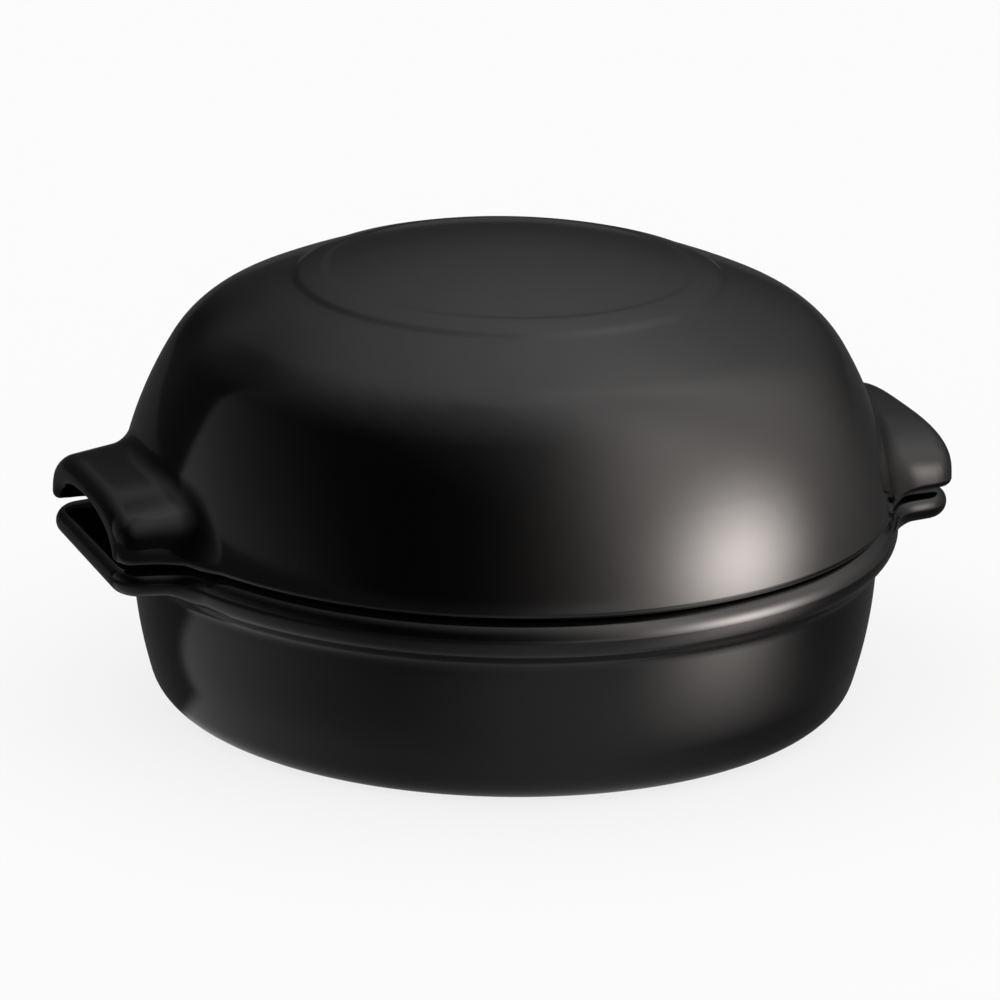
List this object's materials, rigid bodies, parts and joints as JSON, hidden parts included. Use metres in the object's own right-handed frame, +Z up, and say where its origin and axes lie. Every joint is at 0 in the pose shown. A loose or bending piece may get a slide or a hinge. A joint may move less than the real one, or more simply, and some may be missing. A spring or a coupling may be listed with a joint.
{
  "type": "cheese baker",
  "caption": "Round lidded stoneware baker: a low dish with flat side ears under a tall domed lid whose arched ears leave room for the fingers.",
  "frame": {"origin": "on the table under the middle of the dish's foot", "axes": "+Z up, +X along the line through both pairs of ears"},
  "size_m": [0.1956, 0.175, 0.1027],
  "materials": {
    "glaze": "gloss"
  },
  "bodies": {
    "dish": {"base_dish": "glaze"},
    "cover": {"lid": "glaze"}
  },
  "joints": [
    {"name": "lid_lift", "type": "slide", "parent": "dish", "child": "cover", "axis": [0, 0, 1], "range_m": [0, 0.12]}
  ]
}
